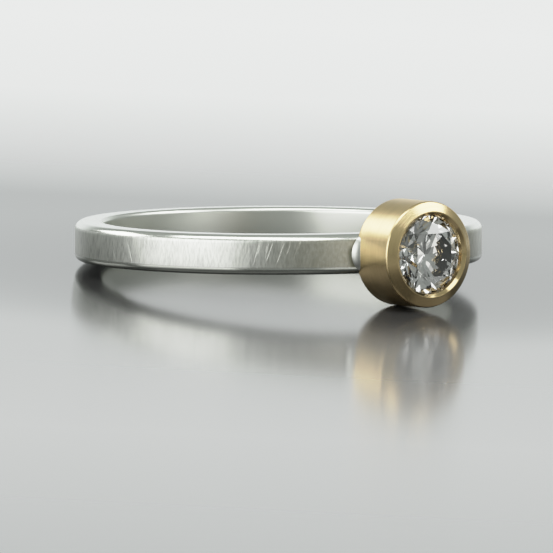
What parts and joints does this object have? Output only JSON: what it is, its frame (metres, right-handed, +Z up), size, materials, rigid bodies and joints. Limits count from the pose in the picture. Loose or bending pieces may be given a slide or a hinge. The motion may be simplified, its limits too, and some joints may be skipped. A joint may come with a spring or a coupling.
{
  "type": "stackable ring",
  "caption": "Slim flat finger ring of brushed white metal with a round yellow gold bezel that holds one round brilliant-cut stone, made to be worn in a stack.",
  "frame": {"origin": "on the surface that the ring lies on, under the middle of its bounding box", "axes": "+Z up from that surface, -Y the way the bezel looks, +X to the right seen from the bezel; the ring's own axis leans 5 degrees from +Z"},
  "size_m": [0.02, 0.0226, 0.0054],
  "materials": {
    "white_metal": "brushed, with polished edges",
    "yellow_gold": "satin side and bright-cut lip",
    "clear_stone": "polished facets"
  },
  "bodies": {
    "root": {"band_and_bezel": "white_metal", "stone": "clear_stone"}
  },
  "joints": []
}
